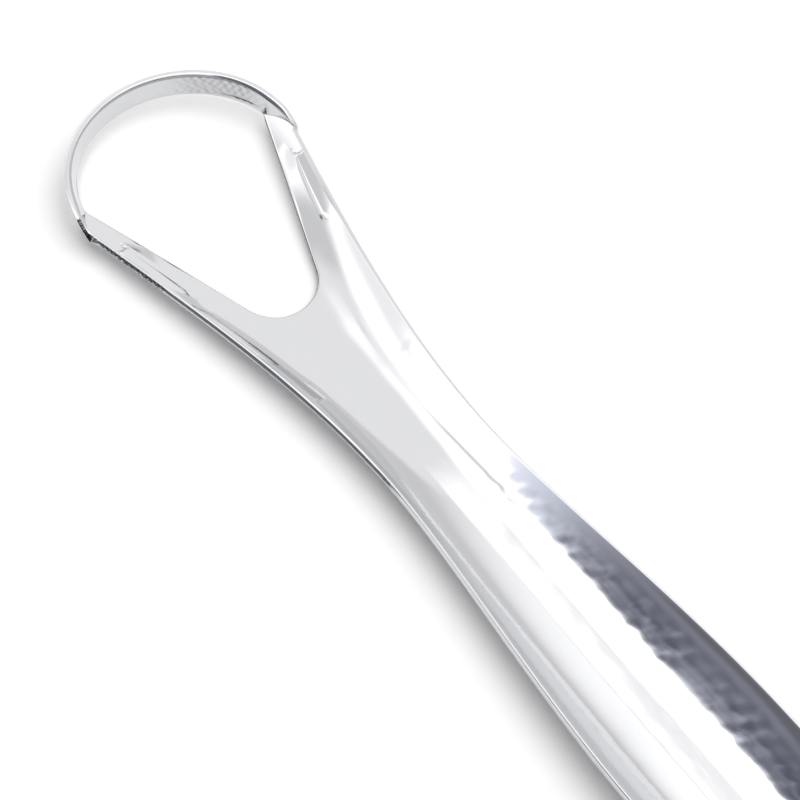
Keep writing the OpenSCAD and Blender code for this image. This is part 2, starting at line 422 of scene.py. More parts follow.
def build_piece(name, far_parts, near_parts, material, cap=()):
    """Makes an object from the far side's grids of points and the near side's, mirrored.

    A part is a grid of points, rows by columns by 3, whether each row closes to a ring, and its
    marks. Both sides have like grids. cap: faces over the first row of the first grid."""
    faces = list(cap)
    count = 0
    for points, closed, _ in far_parts:
        rows, cols = points.shape[:2]
        ids = count + np.arange(rows * cols).reshape(rows, cols)
        if closed:
            ids = np.concatenate([ids, ids[:, :1]], 1)
        quads = np.stack([ids[:-1, :-1], ids[:-1, 1:], ids[1:, 1:], ids[1:, :-1]], -1)
        faces.extend(quads.reshape(-1, 4).tolist())
        count += rows * cols
    both_parts = [*far_parts, *near_parts]
    marks = [np.broadcast_to(mark, points.shape[:2]).ravel() for points, _, mark in both_parts]
    both = np.concatenate([joined(far_parts), joined(near_parts) * np.array([1, -1, 1])])
    both[:, 0] += JUNCTION_X
    faces += [[count + i for i in reversed(f)] for f in faces]
    mesh = bpy.data.meshes.new(name)
    mesh.from_pydata((both * MM).tolist(), [], faces)
    attribute = mesh.attributes.new("edge", "FLOAT", "POINT")
    attribute.data.foreach_set("value", np.concatenate(marks).astype(np.float32))
    bm = bmesh.new()
    bm.from_mesh(mesh)
    bmesh.ops.remove_doubles(bm, verts=bm.verts, dist=WELD * MM)
    bmesh.ops.dissolve_degenerate(bm, edges=bm.edges, dist=SLIVER * MM)
    bmesh.ops.recalc_face_normals(bm, faces=bm.faces)
    bm.to_mesh(mesh)
    bm.free()
    mesh.polygons.foreach_set("use_smooth", [True] * len(mesh.polygons))
    piece = bpy.data.objects.new(name, mesh)
    bpy.context.scene.collection.objects.link(piece)
    piece.data.materials.append(material)
    return piece


# Points over an edge: a rounded one has two arcs with a flat between them,
# and the sheared one a rolled corner, a shiny cut, a rough break and a burr
ARC_STEPS = 6
FLAT_STEPS = 4
EDGE_POINTS = 2 * (ARC_STEPS + 1) + FLAT_STEPS - 1
ROLL_POINTS = 6
CUT_POINTS = 3
BREAK_POINTS = 4
BURR_POINTS = 4


def onto_edge(places, values):
    """A value for each point of an edge, from values at a few places."""
    return np.interp(np.arange(EDGE_POINTS), places, values)


# Marks on the points of an edge: up to 1 for the rough broken part of a cut, down to -1 for grime and for
# painted shade.
# The opening's marks paint shade along its cut edge, and the line marks paint a dark shade line over the
# five columns where the band's inner face meets its rim
FROM_MIDDLE = np.abs(np.linspace(-1, 1, EDGE_POINTS))
ROUND_MARKS = 0.35 * (1 - onset(FROM_MIDDLE, 0.15, 0.3))
SHEAR_MARKS = onto_edge([3, 5, 8, 9, 13, 16], [0, 0.15, 0.15, 1, 1, 0])
OPENING_SHADE = onto_edge([1, 3, 13, 15], [0, -0.85, -0.85, 0])
LINE_SHADE = np.array([0.0, 0.3, 0.6, 0.4, 0.0])


def edge_loop(top, top_out, under, under_out, size, profile):
    """Points round a sheet's edge, from the upper surface to the under one.

    top_out, under_out: directions in which each surface runs out to the edge; size: 1 for the full
    profile; profile: how far each point stays back from the edge, and how deep it lies in the sheet."""
    back, deep = profile
    back = np.broadcast_to(back, (len(top), EDGE_POINTS)) * size[:, None]
    share = (deep / SHEET_T)[None, :, None]
    out = mix(top_out[:, None], under_out[:, None], share)
    return mix(top[:, None], under[:, None], share) - out * back[..., None]


def rounded(r_top, r_under):
    """Profile of an edge with two rounded corners."""
    s = np.linspace(0, 1, ARC_STEPS + 1)
    middle = np.linspace(r_top, SHEET_T - r_under, FLAT_STEPS + 1)[1:-1]
    back = np.concatenate([r_top * (1 - s) ** 2, np.zeros(FLAT_STEPS - 1), r_under * s ** 2])
    deep = np.concatenate([r_top * s ** 2, middle, SHEET_T - r_under * (1 - s) ** 2])
    return back, deep


def torn_share(u, far):
    """How torn the rim is: up to 1 on the front of the near arm."""
    return within(u, *TORN_U) * (1 - far)


def edge_span(middle, half):
    """1 on the points near the middle of a span, falling off at its half width."""
    return np.exp(-((np.arange(EDGE_POINTS) - middle) / half) ** 4)[None]


def sheared(u, torn):
    """Profile of the cut rim: rolled corner, shiny cut, rough break and a small burr corner."""
    tilt = np.tan(np.radians(np.interp(u, *CUT_TILT)))
    shine = ((SHINE_END - ROLL_DOWN) * tilt)[:, None]
    start = np.maximum(0, -shine)
    control = np.maximum(0, start - ROLL_DOWN * tilt[:, None])
    s = np.linspace(0, 1, ROLL_POINTS)
    roll = (TOP_R + start) * (1 - s) ** 2 + 2 * (s * (1 - s)) * control + start * s ** 2
    cut = start + shine * np.arange(1, CUT_POINTS + 1) / CUT_POINTS
    break_d = SHEET_T - BURR_R - SHINE_END
    break_slope = math.tan(math.radians(BREAK_TILT))
    broken = cut[:, -1:] + break_d * break_slope * np.arange(1, BREAK_POINTS + 1) / BREAK_POINTS
    q = np.linspace(0, 1, BURR_POINTS + 1)[1:]
    burr = broken[:, -1:] + BURR_R * q ** 2
    back = np.concatenate([roll, cut, broken, burr], 1)
    deep = np.concatenate([
        ROLL_DOWN * s ** 2,
        np.linspace(ROLL_DOWN, SHINE_END, CUT_POINTS + 1)[1:],
        np.linspace(SHINE_END, SHEET_T - BURR_R, BREAK_POINTS + 1)[1:],
        SHEET_T - BURR_R * (1 - q) ** 2])
    wave = noise("torn", u[:, None] / CRINKLE_L, np.arange(EDGE_POINTS)[None] / CRINKLE_ACROSS)
    back = back + (1 + wave) * mix(*CRINKLE, torn)[:, None] * edge_span(*CRINKLE_SPAN)
    return back, deep


def sheared_marks(u, torn, far):
    """Marks of the cut rim: the rough break, a duller stretch, dark pits on the torn stretch and specks of
    grime.
    """
    across = np.arange(EDGE_POINTS)[None] / GRIME_ACROSS
    base, change = PIT_LEVEL
    pits = torn[:, None] * np.clip(base + change * noise("pits", u[:, None] / PIT_L, across), 0, 1)
    specks = np.clip(noise("speckle", u[:, None] / SPECKLE_L, across), 0, 1)
    darkening = pits + SPECKLE * ((1 - far) * onset(u, *SPECKLE_U)[:, None] * specks)
    dull = DULL_CUT * onset(u, *DULL_CUT_U)[:, None] * edge_span(*DULL_CUT_SPAN)
    rough = np.maximum(SHEAR_MARKS[None], dull) * (1 - torn[:, None])
    return rough - darkening * edge_span(*PIT_SPAN)


def arm_marks(plan, far):
    """Painted shade on a wedge between two lines on the near arm, and a notch-shaped painted shadow on the
    far one.
    """
    u = plan[..., 0]
    d = full_half(u) - plan[..., 1]
    line_u, inner_line, outer_line = WEDGE
    inside = smooth((np.interp(u, line_u, inner_line) - d) / WEDGE_SOFT + 0.5)
    inside = inside * smooth((d - np.interp(u, line_u, outer_line)) / WEDGE_SOFT + 0.5)
    # Painted shade over the wedge
    wedge = WEDGE_SHADE * (1 - far) * inside * within(u, *WEDGE_U)
    # A notch-shaped painted shadow on the far arm, where its ridge ends
    off_u = (u - NOTCH_AT[0]) / NOTCH_SIZE[0]
    off_d = (d - NOTCH_AT[1]) / NOTCH_SIZE[1]
    return -wedge - NOTCH_SHADOW * far * np.exp(-off_u ** 2 - off_d ** 2)


def along(points):
    """Unit vectors along a line of points."""
    return unit(np.gradient(points, axis=0))


def steps(*spans):
    """Joined spans (start, end, step), with the last end."""
    parts = [np.linspace(a, b, max(2, round((b - a) / s) + 1))[:-1] for a, b, s in spans]
    return np.concatenate(parts + [[spans[-1][1]]])


# Rows of the handle: on the arms as spans of u with a step, then swinging round the end of the
# opening, then along the trough and round the tail, which stays just inside the frame's box
ARM_ROWS = ((0, 1.2, 0.1), (1.2, 17, 0.16), (17, TANGENT_U, 0.2))
FAN_U = OPENING_BACK + 3
FAN_ROWS = 31
TROUGH_STEP = 0.4
TAIL_ROWS = 56
TAIL_FAN = 9
SHY = 0.002
TOP_COLS = 56
UNDER_COLS = 30
CREASE_STEPS = 60


def handle_rows():
    """Rim and inner ends of each row in plan, and how many rows start at the opening's edge."""
    straight = steps(*ARM_ROWS)
    fan = np.linspace(TANGENT_U, FAN_U, FAN_ROWS)[1:]
    trough = steps((FAN_U, ROUND_U, TROUGH_STEP))[1:]
    theta = np.linspace(0, math.pi / 2, TAIL_ROWS)[1:]
    u = np.concatenate([straight, fan, trough, ROUND_U + (END_L - SHY) * np.sin(theta)])
    half = full_half(u)
    half[-len(theta):] *= np.cos(theta)
    rim = np.stack([u, half], -1)

    n_straight = len(straight)
    n_open = n_straight + len(fan)
    inner = np.zeros_like(rim)
    s = (straight / TANGENT_U)[:, None]
    inner[:n_straight] = mix(CORNER, np.array([TANGENT_U, open_half(TANGENT_U)]), s)
    turn = mix(math.pi / 2 + EDGE_ANGLE, 0, (fan - TANGENT_U) / (FAN_U - TANGENT_U))
    round_end = OPENING_R * np.stack([np.cos(turn), np.sin(turn)], -1)
    inner[n_straight:n_open] = np.array([ROUND_C, 0]) + round_end
    run = np.cumsum(np.linalg.norm(np.diff(rim[n_open - 1:], axis=0), axis=1))
    inner[n_open:, 0] = mix(OPENING_BACK + TOP_R, TAIL_U - TAIL_FAN, run / run[-1])
    return rim, inner, n_open


def edge_frame(plan, rounding):
    """Points of an edge on the upper surface, the normals there and the directions across it."""
    points = lift(plan)
    normals = top_normal(points[:, 0], points[:, 1], rounding)
    forward = along(points)
    forward[-1] = np.array([0, -1.0, 0])
    return points, normals, unit(np.cross(normals, forward))


def through(normals, share, away):
    """From the upper to the under surface: square to the sheet, but along the mitre at the crease.

    share: the place along the crease; away: the distance from it."""
    shares = np.linspace(0, 1, CREASE_STEPS)
    cut = mitre(shares)
    bisector = np.stack([np.interp(share, shares, cut[:, k]) for k in range(3)], -1)
    turn = np.clip(1 - away / MITRE_L, 0, 1)[..., None]
    return mix(-normals * SHEET_T, bisector, turn)


def handle_parts(far):
    """Grids of the arm and of the trough behind it, on the far side (1) or the near one (0)."""
    rim_plan, inner_plan, n_open = handle_rows()
    from_corner = inner_plan[:, 0] - CORNER[0]
    rim, rim_normal, rim_out = edge_frame(rim_plan, SOFT)
    rim_under = rim + through(rim_normal, np.ones(len(rim)), rim[:, 0])
    rim_base, rim_growth = RIM_GROWTH
    rim_size = np.clip(rim_base + rim[:, 0] / rim_growth, 0, 1)
    torn = torn_share(rim[:, 0], far)
    back, deep = sheared(rim[:, 0], torn)
    rim_edge = edge_loop(rim, rim_out, rim_under, rim_out, rim_size, (back, deep))
    rim_marks = sheared_marks(rim[:, 0], torn, far)

    opening, in_normal, in_back = edge_frame(inner_plan[:n_open], CRISP)
    in_out = -in_back
    in_under = opening + through(in_normal, np.zeros(n_open), from_corner[:n_open])
    in_base, in_growth = OPENING_GROWTH
    in_size = np.clip(in_base + from_corner[:n_open] / in_growth, 0, 1)
    in_edge = edge_loop(opening, in_out, in_under, in_out, in_size, rounded(TOP_R, UNDER_R))
    arm_start = opening - in_out * TOP_R * in_size[:, None]

    def surface(cols, rows, start, lower):
        """Points of the upper or lower surface, up to the rim's rounding.

        start: points behind the opening's rounding, or None for rows from the middle line."""
        if start is None:
            s = np.linspace(0, 1, cols + 2)[:-1]
            inner_end = inner_plan[rows]
        else:
            s = np.linspace(0, 1, cols + 2)[1:-1]
            inner_end = start[:, :2]
        set_back = (back[:, -1 if lower else 0] * rim_size)[rows][:, None]
        rim_end = rim_plan[rows] - rim_out[rows][:, :2] * set_back
        plan = mix(inner_end[:, None], rim_end[:, None], s[None, :, None])
        chord = mix(CORNER, np.array([0.0, JUNCTION_Y]), s[:, None])
        near_crease = np.clip(1 - rim_plan[rows][:, 0] / BOW_L, 0, 1) ** 2
        plan = plan + (crease_plan(s) - chord)[None] * near_crease[:, None, None]
        if not lower:
            return lift(plan, far=far)
        normals = top_normal(plan[..., 0], plan[..., 1], SOFT)
        away = mix(from_corner[rows][:, None], rim_plan[rows][:, :1], s[None])
        share = np.broadcast_to(s[None], away.shape)
        return lift(plan, SOFT) + through(normals, share, away)

    arm = slice(0, n_open)
    upper = slice(EDGE_POINTS, EDGE_POINTS + TOP_COLS)
    loop = np.concatenate([
        in_edge[:, ::-1],
        surface(TOP_COLS, arm, arm_start, False),
        rim_edge[arm],
        surface(UNDER_COLS, arm, arm_start, True)[:, ::-1]], 1)
    marks = np.zeros(loop.shape[:2])
    # Painted shade along the opening's cut edge
    marks[:, :EDGE_POINTS] = OPENING_SHADE
    marks[:, upper] = arm_marks(loop[:, upper], far)
    marks[:, upper.stop:-UNDER_COLS] = rim_marks[arm]

    trough = slice(n_open - 1, len(rim))
    top = surface(TOP_COLS, trough, None, False)
    bottom = surface(UNDER_COLS, trough, None, True)[:, ::-1]
    top[0, 0] = in_edge[-1, 0]
    top[0, 1:] = loop[-1, upper]
    bottom[0, -1] = in_edge[-1, -1]
    bottom[0, :-1] = loop[-1, -UNDER_COLS:]
    shell = np.concatenate([top, rim_edge[trough], bottom], 1)
    shell_marks = np.pad(rim_marks[trough], ((0, 0), (TOP_COLS + 1, UNDER_COLS + 1)))
    shell_marks[:, :TOP_COLS + 1] = arm_marks(top, far)
    return (loop, True, marks), (shell, False, shell_marks)


def end_cap(row):
    """Triangles over the mitre face: the first row's upper run sewn to its under run."""
    count = len(row)
    middle = EDGE_POINTS // 2
    rim_middle = EDGE_POINTS + TOP_COLS + middle
    upper = list(range(middle, rim_middle + 1))
    under = [k % count for k in range(count + middle, rim_middle - 1, -1)]

    def shares(ids):
        run = np.cumsum(np.linalg.norm(np.diff(row[ids], axis=0), axis=1))
        return np.concatenate([[0], run / run[-1]])

    share_up, share_down = shares(upper), shares(under)
    faces = []
    i = j = 0
    while i < len(upper) - 1 or j < len(under) - 1:
        forward = j == len(under) - 1 or (i < len(upper) - 1 and share_up[i + 1] <= share_down[j + 1])
        face = [upper[i], upper[i + 1], under[j]] if forward else [upper[i], under[j + 1], under[j]]
        i, j = (i + 1, j) if forward else (i, j + 1)
        if len(set(face)) == 3:
            faces.append(face)
    return faces


def build_handle(material):
    far, near = handle_parts(1), handle_parts(0)
    loop = far[0][0]
    return build_piece("handle_shell", far, near, material, end_cap(loop[0]))


# Rows and columns of the band
FRONT_ROWS = 211
CREASE_ROWS = 62
BAND_COLS = 32
OUTER_COLS = 14


def band_angles():
    """Angles of the band's rows, from the front of the loop to the junction."""
    front = np.linspace(0, CORNER_ANGLE, FRONT_ROWS)
    over_crease = np.linspace(CORNER_ANGLE, JUNCTION_ANGLE, CREASE_ROWS)[1:]
    return np.concatenate([front, over_crease])


def band_rim(a, left):
    """Inner line of the band's rim, and the way through the sheet there. left: length to the junction."""
    rim = np.concatenate([round_band(BAND_R, a), np.zeros((len(a), 1))], 1)
    rim[:, 2] = rim_z(rim[:, 0]) + BAND_RISE * (1 - (a / JUNCTION_ANGLE) ** FALL_POWER)
    turn = np.clip(1 - left / RIM_TURN_L, 0, 1)[:, None] ** RIM_TURN_POWER
    return rim, mix(outward(rim) * SHEET_T, mitre(np.ones(1)), turn)


def band_low(a):
    """Inner lower line of the band, which follows the crease at its end, and the way through the sheet."""
    share = np.clip((a - CORNER_ANGLE) / (JUNCTION_ANGLE - CORNER_ANGLE), 0, 1)
    low = lift(crease_plan(share))
    front = a <= CORNER_ANGLE
    turned = a[front] / CORNER_ANGLE
    plan = round_band(BAND_R - lean(a[front]), a[front])
    at_corner = rim_z(CORNER[0]) - top_z(CORNER[0], CORNER[1])
    low[front, :2] = plan
    low[front, 2] = rim_z(plan[:, 0]) - mix(BAND_DROP, at_corner, turned ** DROP_POWER)
    low_through = mitre(share)
    square = band_normal(low, a)[front] * SHEET_T
    low_through[front] = mix(square, mitre(np.zeros(1)), turned[:, None] ** TURN_POWER)
    return low, low_through


def inner_shares(cols):
    """Even shares from 0 to 1, without both ends."""
    return np.linspace(0, 1, cols + 2)[1:-1]


def between(cols, start, end):
    """Columns of points between two lines of points."""
    return mix(start[:, None], end[:, None], inner_shares(cols)[None, :, None])


def evened(a, reach):
    """The same lengths round the band, averaged over a few degrees."""
    even = np.linspace(0, JUNCTION_ANGLE, EVEN_STEPS)
    offsets = np.arange(-EVEN_SPAN, EVEN_SPAN + 1) * (even[1] - even[0])
    kernel = np.exp(-0.5 * (offsets / EVEN_ANGLE) ** 2)
    padded = np.pad(np.interp(even, a, reach), EVEN_SPAN, mode="edge")
    return np.interp(a, even, np.convolve(padded, kernel / kernel.sum(), "valid"))


def lip_out(a):
    """How far the lip stands out at its lower end."""
    start, rise = LIP_ANGLE
    return LIP_OUT * smooth((np.degrees(a) - start) / rise) * smooth((CORNER_ANGLE - a) / LIP_END)


def swelling(a, low, height):
    """How far the inner face stands out from the straight lines between its two edges."""
    s = inner_shares(BAND_COLS)
    reach = BAND_R - np.hypot(low[:, 0] + BAND_CENTRE, low[:, 1])
    flare = (reach - evened(a, reach))[:, None] * ((1 - s) - (1 - s) ** 2)[None]
    above = smooth((s[None] * height[:, None] - LIP_LOW) / LIP_SOFT)
    return flare + lip_out(a)[:, None] * above * (1 - s[None] ** 2)


def band_marks(a, left, height):
    """Marks of the band on the far and on the near side."""
    s = inner_shares(BAND_COLS)
    columns = np.arange(BAND_COLS)[None]
    mottled = 1 + MOTTLE * noise("mottle", a[:, None] * BAND_R / MOTTLE_L, columns / MOTTLE_COLS)
    # Painted shade on the inner face close to each junction
    darkening = JUNCTION_SHADE * smooth((JUNCTION_SHADE_L - left) / JUNCTION_SHADE_FADE)[:, None]
    fold = np.exp(-((s[None] * height[:, None] - LIP_LOW - FOLD_UP) / FOLD_SOFT) ** 2)
    both = np.zeros((len(a), BAND_COLS + 2 * EDGE_POINTS + OUTER_COLS))
    both[:, BAND_COLS:BAND_COLS + EDGE_POINTS] = ROUND_MARKS
    # A painted shade line where the band's inner face meets its rim
    both[:, BAND_COLS - 2:BAND_COLS + 3] -= LINE_SHADE
    # A light painted shade over the whole inner face, mottled at random
    both[:, :BAND_COLS] -= darkening + INNER_SHADE * mottled
    # A painted shade line along the fold under the lip
    both[:, :BAND_COLS] -= FOLD_SHADE * fold * lip_out(a)[:, None] / LIP_OUT

    far = both.copy()
    # More painted shade on the far side's inner face, mottled at random
    far[:, :BAND_COLS] -= (FAR_SIDE_SHADE * within(a, *FAR_SIDE_SHADE_ANGLE))[:, None] * mottled
    near = both.copy()
    # Nearly black patches over the rim and outer face close to the near junction
    base, change = BLACK_END_LEVEL
    patchy = np.clip(base + change * noise("black_end", left[:, None] / BLACK_END_GRAIN), 0, 1)
    black_end = smooth((BLACK_END_L - left) / BLACK_END_FADE)[:, None] * patchy
    dark = slice(*(BAND_COLS + column for column in BLACK_END_COLS))
    near[:, dark] = mix(near[:, dark], -1, black_end)
    return far, near


def build_band(material):
    a = band_angles()
    left = (JUNCTION_ANGLE - a) * BAND_R
    rim, rim_through = band_rim(a, left)
    low, low_through = band_low(a)
    height = np.linalg.norm(rim - low, axis=1)
    up = unit(rim - low + UPWARD)
    outer_up = unit(rim + rim_through - low - low_through + UPWARD)
    rim_size = np.minimum(1, RIM_R_SHARE * height / BAND_INNER_R)
    low_size = np.clip((CORNER_ANGLE - a) * BAND_R / LOW_GROWTH, 0, LOW_SIZE)
    rim_edge = edge_loop(rim, up, rim + rim_through, outer_up, rim_size, rounded(BAND_INNER_R, BAND_OUTER_R))
    low_edge = edge_loop(low, -up, low + low_through, -outer_up, low_size, rounded(TOP_R, UNDER_R))
    inner = between(BAND_COLS, low_edge[:, 0], rim_edge[:, 0])
    inner += outward(rim)[:, None] * swelling(a, low, height)[..., None]
    outer = between(OUTER_COLS, rim_edge[:, -1], low_edge[:, -1])
    loop = np.concatenate([inner, rim_edge, outer, low_edge[:, ::-1]], 1)
    far_marks, near_marks = band_marks(a, left, height)
    return build_piece("band_shell", [(loop, True, far_marks)], [(loop, True, near_marks)], material)


def node_material(name):
    material = bpy.data.materials.new(name)
    material.use_nodes = True
    nodes = material.node_tree.nodes
    nodes.clear()
    return material, nodes, material.node_tree.links


def maths(tree, operation, a, b=0.0):
    node = tree.nodes.new("ShaderNodeMath")
    node.operation = operation
    for socket, thing in zip(node.inputs, (a, b)):
        if isinstance(thing, (int, float)):
            socket.default_value = thing
        else:
            tree.links.new(thing, socket)
    return node.outputs[0]


def plus(tree, a, b):
    return maths(tree, "ADD", a, b)


def minus(tree, a, b):
    return maths(tree, "SUBTRACT", a, b)


def times(tree, a, b):
    return maths(tree, "MULTIPLY", a, b)


def most(tree, a, b):
    return maths(tree, "MAXIMUM", a, b)


def ramp(tree, x, low, high, start=0.0, end=1.0):
    """Goes smoothly from start to end while x goes from low to high."""
    node = tree.nodes.new("ShaderNodeMapRange")
    node.interpolation_type = "SMOOTHSTEP"
    for name, number in (("From Min", low), ("From Max", high), ("To Min", start), ("To Max", end)):
        node.inputs[name].default_value = number
    tree.links.new(x, node.inputs["Value"])
    return node.outputs[0]


def blend(tree, a, b, share):
    """a where share is 0, b where it is 1."""
    return plus(tree, a, times(tree, share, minus(tree, b, a)))


def tint(tree, a, b, share):
    """Colour a where share is 0, b where it is 1."""
    node = tree.nodes.new("ShaderNodeMix")
    node.data_type = "RGBA"
    for name, thing in (("A", a), ("B", b)):
        if isinstance(thing, tuple):
            node.inputs[name].default_value = (*thing, 1)
        else:
            tree.links.new(thing, node.inputs[name])
    tree.links.new(share, node.inputs["Factor"])
    return node.outputs["Result"]


def place_of(tree):
    """Sockets for the place on a piece or card: the point, then x, y and z, in metres."""
    where = tree.nodes.new("ShaderNodeTexCoord")
    parts = tree.nodes.new("ShaderNodeSeparateXYZ")
    tree.links.new(where.outputs["Object"], parts.inputs[0])
    return where.outputs["Object"], parts.outputs[0], parts.outputs[1], parts.outputs[2]


def line_over(tree, y, middle, half):
    """1 on a thin line at y = middle, with soft sides that end half a width away."""
    off = maths(tree, "ABSOLUTE", minus(tree, y, middle))
    return ramp(tree, off, FULL_LINE * half, half, 1, 0)


def seen_directly(tree):
    """1 for rays from the camera and for reflections, 0 for the light that the room gives."""
    ray = tree.nodes.new("ShaderNodeLightPath")
    seen = most(tree, ray.outputs["Is Camera Ray"], ray.outputs["Is Glossy Ray"])
    return most(tree, seen, ray.outputs["Is Transmission Ray"])


def half_clear(material, share, lamp):
    """Shows the lamp where share is 1 and nothing where it is 0."""
    tree = material.node_tree
    clear = tree.nodes.new("ShaderNodeBsdfTransparent")
    both = tree.nodes.new("ShaderNodeMixShader")
    out = tree.nodes.new("ShaderNodeOutputMaterial")
    tree.links.new(share, both.inputs[0])
    tree.links.new(clear.outputs[0], both.inputs[1])
    tree.links.new(lamp.outputs[0], both.inputs[2])
    tree.links.new(both.outputs[0], out.inputs["Surface"])


# Steel: its colour clean, and the near-black colour of grime and of painted shade, roughness of faces and of
# broken edges, and the fine grain
STEEL = (0.66, 0.662, 0.675)
GRIME_AND_SHADE = (0.02, 0.02, 0.024)
FACE_ROUGH = 0.08
EDGE_ROUGH = 0.42
GRAIN_STRETCH = (0.1, 1, 1)
GRAIN_SCALE = 2200
GRAIN_DETAIL = 4
GRAIN_H = 0.0000016

# Studio, in metres. A level of 1 is plain white, and a pair of places is where a soft edge starts and ends
FLOOR_COLOUR = (0.9, 0.9, 0.9)
FLOOR_SEEN = (1.0, 1.0, 1.004)
WORLD_LEVEL = 0.42
LAMP_LEVEL = 0.63
LAMP_FROM = (0.1, 0.25, 0.96)
LAMP_SPREAD = 68
FULL_LINE = 0.3

# The light overhead: levels of its dimmer part and of its brighter one, the bent edge between them,
# and a thin dim line in the brighter one
SKY_LIGHT = (1.27, 1.7)
SKY_X = (-0.95, -0.72)
SKY_Y = (-0.68, -0.56)
SKY_BEND_X = -0.6
SKY_BEND_SLOPE = -1.17
GAP = 0.06
GAP_Y = -0.18
GAP_START = (-0.52, -0.44)
GAP_END = (-0.30, -0.26)
GAP_LEVEL = 0.95

# The veil: its levels, its slanted line, the stretches that it covers, a soft blot and a thin thread
VEIL_LEFT = 1.13
VEIL_LIGHT = (0.84, 1.65)
VEIL_X = (-0.10, 0.04)
VEIL_SLANT = 0.67
VEIL_EDGE = (-0.024, -0.008)
VEIL_Y = (0.038, 0.046)
ARMS_X = (-0.10, -0.075)
ARMS_END = (-0.15, -0.135)
ARMS_Y = (-0.045, -0.028)
NECK_SLOPE = 1.2
NECK_EDGE = (0.094, 0.124)
NECK_X = (-0.112, -0.095)
BLOT_AT = (-0.12, -0.005)
BLOT_SIZE = (0.016, 0.034)
BLOT_EDGE = (0.4, 1.6)
BLOT_LEVEL = 0.85
THREAD = 0.0022
THREAD_Y = 0.041
THREAD_X = (-0.05, -0.02)
THREAD_LEVEL = 1.12

# The sides of the room: a name, a level and the height toward which each fades, if its card is that
# high. SKIRT_FULL: share of that height below which nothing has faded
SKIRTS = (("skirt_near", 0.17, 0.42), ("skirt_right", 0.14, 0.6),
          ("skirt_far", 0.86, 0.6), ("skirt_left", 0.85, 0.42))
SKIRT_FULL = 0.7

# The flag: its pale and dark colours, where it fades, its faint clouds and the dark strip along its foot
FLAG_PALE = (1.2, 1.24, 1.4)
FLAG_DARK = (0.125, 0.132, 0.175)
FLAG_FADE = (-0.118, -0.018)
FLAG_LEAN = 0.2
FLAG_SIDE = (-0.118, -0.1)
FLAG_TOP = (0.5, 0.95)
FLAG_HIGH = (1.1, 0.55)
FLAG_END = (0.12, 0.2)
CLOUD_SCALE = 24
CLOUD_STRETCH = (1.0, 1.0, 0.35)
CLOUD_RANGE = (0.3, 0.75)
CLOUD_LEVEL = 0.86
STRIP_COLOUR = (0.18, 0.183, 0.205)
STRIP_Z = (0.125, 0.15)


def polished_steel():
    """Polished sheet with faint grain along it; its cut edges are rougher."""
    material, nodes, links = node_material("polished_steel")
    tree = material.node_tree
    out = nodes.new("ShaderNodeOutputMaterial")
    shader = nodes.new("ShaderNodeBsdfPrincipled")
    shader.inputs["Metallic"].default_value = 1
    stretch = nodes.new("ShaderNodeMapping")
    stretch.inputs["Scale"].default_value = GRAIN_STRETCH
    links.new(place_of(tree)[0], stretch.inputs["Vector"])
    grain = nodes.new("ShaderNodeTexNoise")
    grain.inputs["Scale"].default_value = GRAIN_SCALE
    grain.inputs["Detail"].default_value = GRAIN_DETAIL
    links.new(stretch.outputs[0], grain.inputs["Vector"])
    bump = nodes.new("ShaderNodeBump")
    bump.inputs["Distance"].default_value = GRAIN_H
    links.new(grain.outputs["Fac"], bump.inputs["Height"])
    links.new(bump.outputs[0], shader.inputs["Normal"])
    edge = nodes.new("ShaderNodeAttribute")
    edge.attribute_name = "edge"
    rough = ramp(tree, edge.outputs["Fac"], 0, 1, FACE_ROUGH, EDGE_ROUGH)
    # Marks below 0 darken the steel toward near black: specks of grime, dark pits, and painted shade
    undarkened = ramp(tree, edge.outputs["Fac"], -1, 0)
    links.new(tint(tree, GRIME_AND_SHADE, STEEL, undarkened), shader.inputs["Base Color"])
    links.new(rough, shader.inputs["Roughness"])
    links.new(shader.outputs[0], out.inputs["Surface"])
    return material


def sky_light():
    """The soft white light overhead, dimmer on the left, with a thin dim gap in it."""
    material, nodes, links = node_material("sky_light")
    tree = material.node_tree
    _, x, y, _ = place_of(tree)
    left = maths(tree, "MINIMUM", minus(tree, x, SKY_BEND_X), 0)
    bent = plus(tree, y, times(tree, left, SKY_BEND_SLOPE))
    white = most(tree, ramp(tree, x, *SKY_X), ramp(tree, bent, *SKY_Y, 1, 0))
    level = blend(tree, *SKY_LIGHT, white)
    reach = times(tree, ramp(tree, x, *GAP_START), ramp(tree, x, *GAP_END, 1, 0))
    gap = times(tree, line_over(tree, y, GAP_Y, GAP), reach)
    lamp = nodes.new("ShaderNodeEmission")
    out = nodes.new("ShaderNodeOutputMaterial")
    links.new(blend(tree, level, GAP_LEVEL, gap), lamp.inputs["Strength"])
    links.new(lamp.outputs[0], out.inputs["Surface"])
    return material


